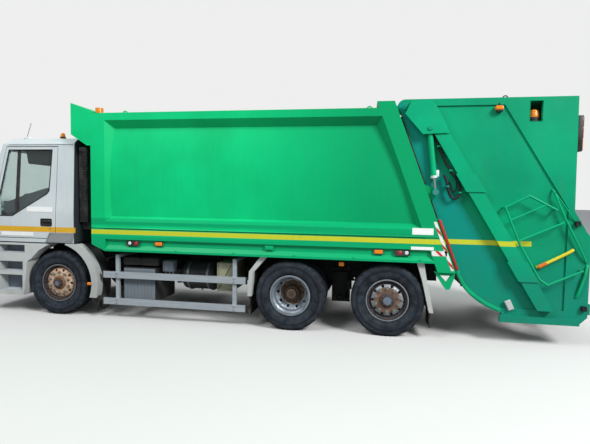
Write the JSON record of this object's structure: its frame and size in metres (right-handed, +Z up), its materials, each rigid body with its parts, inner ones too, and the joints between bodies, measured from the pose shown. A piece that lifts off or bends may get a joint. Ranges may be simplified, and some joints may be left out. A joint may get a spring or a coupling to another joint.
{
  "type": "rear-loading garbage truck",
  "caption": "Three-axle garbage truck with a hollow compactor body, lifting tailgate, packer blade, tilting cab, opening doors and steered wheels.",
  "frame": {"origin": "on the ground, at the middle of the overall length and width", "axes": "-X is the front of the truck, -Y its left side, +Z up"},
  "size_m": [9.42, 2.92, 3.35],
  "materials": {
    "green_paint": "gloss enamel",
    "dark_green_paint": "gloss enamel",
    "cab_paint": "gloss enamel",
    "frame_paint": "matt chassis paint",
    "running_gear": "dull, oily",
    "tyre_rubber": "matt",
    "rim_paint": "dull silver paint",
    "drive_rim_paint": "rusty paint",
    "bare_steel": "worn bare steel",
    "aluminium_rail": "mill finish",
    "black_plastic": "moulded, grained",
    "grey_plastic": "moulded",
    "lamp_plastic": "moulded lens",
    "headlamp_plastic": "clear lens",
    "glazing": "tinted, clear",
    "tank_metal": "semi-gloss",
    "box_paint": "semi-gloss",
    "seat_fabric": "woven"
  },
  "bodies": {
    "chassis": {"chassis_frame": "frame_paint", "engine_block": "running_gear", "front_axle": "running_gear", "drive_axle": "running_gear", "prop_shaft": "running_gear", "tag_axle": "running_gear", "leaf_springs": "running_gear", "front_bumper": "cab_paint", "headlamps": "headlamp_plastic", "entry_steps": "cab_paint", "mudguards": "black_plastic", "side_guards": "aluminium_rail", "tanks": "tank_metal", "side_boxes": "box_paint", "air_intake": "black_plastic", "subframe": "frame_paint", "body_floor": "bare_steel", "body_roof": "green_paint", "body_sides": "green_paint", "body_front": "green_paint", "body_visor": "green_paint", "body_rear_frame": "green_paint", "marker_lamps": "lamp_plastic"},
    "cab": {"cab_shell": "cab_paint", "windscreen": "glazing", "dashboard": "grey_plastic", "seats": "seat_fabric", "steering_wheel": "black_plastic", "mirrors": "black_plastic"},
    "left_door": {"door_left": "cab_paint", "door_glass_left": "glazing"},
    "right_door": {"door_right": "cab_paint", "door_glass_right": "glazing"},
    "left_knuckle": {"knuckle_left": "running_gear"},
    "right_knuckle": {"knuckle_right": "running_gear"},
    "front_left_wheel": {"tyre_front_left": "tyre_rubber", "rim_front_left": "rim_paint"},
    "front_right_wheel": {"tyre_front_right": "tyre_rubber", "rim_front_right": "rim_paint"},
    "drive_left_wheels": {"tyres_drive_left": "tyre_rubber", "rims_drive_left": "drive_rim_paint"},
    "drive_right_wheels": {"tyres_drive_right": "tyre_rubber", "rims_drive_right": "drive_rim_paint"},
    "tag_left_wheel": {"tyre_tag_left": "tyre_rubber", "rim_tag_left": "rim_paint"},
    "tag_right_wheel": {"tyre_tag_right": "tyre_rubber", "rim_tag_right": "rim_paint"},
    "ejector": {"ejector_plate": "bare_steel"},
    "tailgate": {"tailgate_sides": "dark_green_paint", "tailgate_cover": "dark_green_paint", "hopper": "dark_green_paint", "rear_beam": "dark_green_paint", "guide_beams": "green_paint", "guard_rails": "green_paint", "tail_lamps": "lamp_plastic"},
    "lift_ram_barrels": {"lift_barrels": "dark_green_paint"},
    "lift_ram_rods": {"lift_rods": "bare_steel"},
    "packer_carriage": {"carriage": "dark_green_paint"},
    "blade": {"packer_blade": "bare_steel"},
    "lifter": {"bin_lifter": "dark_green_paint"}
  },
  "joints": [
    {"name": "cab_tilt", "type": "hinge", "parent": "chassis", "child": "cab", "pos_m": [-4.555, 0, 0.93], "axis": [0, -1, 0], "range_deg": [0, 60]},
    {"name": "left_door_hinge", "type": "hinge", "parent": "cab", "child": "left_door", "pos_m": [-4.36, -1.225, 1.45], "axis": [0, 0, -1], "range_deg": [0, 70]},
    {"name": "right_door_hinge", "type": "hinge", "parent": "cab", "child": "right_door", "pos_m": [-4.36, 1.225, 1.45], "axis": [0, 0, 1], "range_deg": [0, 70]},
    {"name": "left_steering", "type": "hinge", "parent": "chassis", "child": "left_knuckle", "pos_m": [-3.27, -0.85, 0.515], "axis": [0, 0, 1], "range_deg": [-38, 38]},
    {"name": "right_steering", "type": "hinge", "parent": "chassis", "child": "right_knuckle", "pos_m": [-3.27, 0.85, 0.515], "axis": [0, 0, 1], "range_deg": [-38, 38]},
    {"name": "front_left_spin", "type": "hinge", "parent": "left_knuckle", "child": "front_left_wheel", "pos_m": [-3.27, -1.025, 0.515], "axis": [0, 1, 0], "continuous": true},
    {"name": "front_right_spin", "type": "hinge", "parent": "right_knuckle", "child": "front_right_wheel", "pos_m": [-3.27, 1.025, 0.515], "axis": [0, 1, 0], "continuous": true},
    {"name": "drive_left_spin", "type": "hinge", "parent": "chassis", "child": "drive_left_wheels", "pos_m": [0.535, -0.9, 0.515], "axis": [0, 1, 0], "continuous": true},
    {"name": "drive_right_spin", "type": "hinge", "parent": "chassis", "child": "drive_right_wheels", "pos_m": [0.535, 0.9, 0.515], "axis": [0, 1, 0], "continuous": true},
    {"name": "tag_left_spin", "type": "hinge", "parent": "chassis", "child": "tag_left_wheel", "pos_m": [1.93, -1.055, 0.515], "axis": [0, 1, 0], "continuous": true},
    {"name": "tag_right_spin", "type": "hinge", "parent": "chassis", "child": "tag_right_wheel", "pos_m": [1.93, 1.055, 0.515], "axis": [0, 1, 0], "continuous": true},
    {"name": "ejector_travel", "type": "slide", "parent": "chassis", "child": "ejector", "axis": [1, 0, 0], "range_m": [0, 3.99]},
    {"name": "tailgate_lift", "type": "hinge", "parent": "chassis", "child": "tailgate", "pos_m": [2.105, 0, 3.21], "axis": [0, -1, 0], "range_deg": [0, 75]},
    {"name": "lift_barrel_swing", "type": "hinge", "parent": "tailgate", "child": "lift_ram_barrels", "pos_m": [2.425, 0, 2.91], "axis": [0, -1, 0], "range_deg": [-81, 0]},
    {"name": "lift_rod_travel", "type": "slide", "parent": "lift_ram_barrels", "child": "lift_ram_rods", "axis": [0.1212, 0, -0.9926], "range_m": [0, 0.527]},
    {"name": "carriage_travel", "type": "slide", "parent": "tailgate", "child": "packer_carriage", "axis": [0.5105, 0, -0.8599], "range_m": [0, 0.85]},
    {"name": "blade_swing", "type": "hinge", "parent": "packer_carriage", "child": "blade", "pos_m": [3.20604, 0, 2.01087], "axis": [0, -1, 0], "range_deg": [0, 125]},
    {"name": "lifter_swing", "type": "hinge", "parent": "tailgate", "child": "lifter", "pos_m": [4.582, 0, 1.26], "axis": [0, -1, 0], "range_deg": [0, 135]}
  ],
  "couplings": [
    {"joint": "right_steering", "follows": "left_steering", "ratio": 1},
    {"joint": "lift_barrel_swing", "follows": "tailgate_lift", "ratio": -1.0644},
    {"joint": "lift_rod_travel", "follows": "tailgate_lift", "m_per_rad": 0.4018}
  ]
}
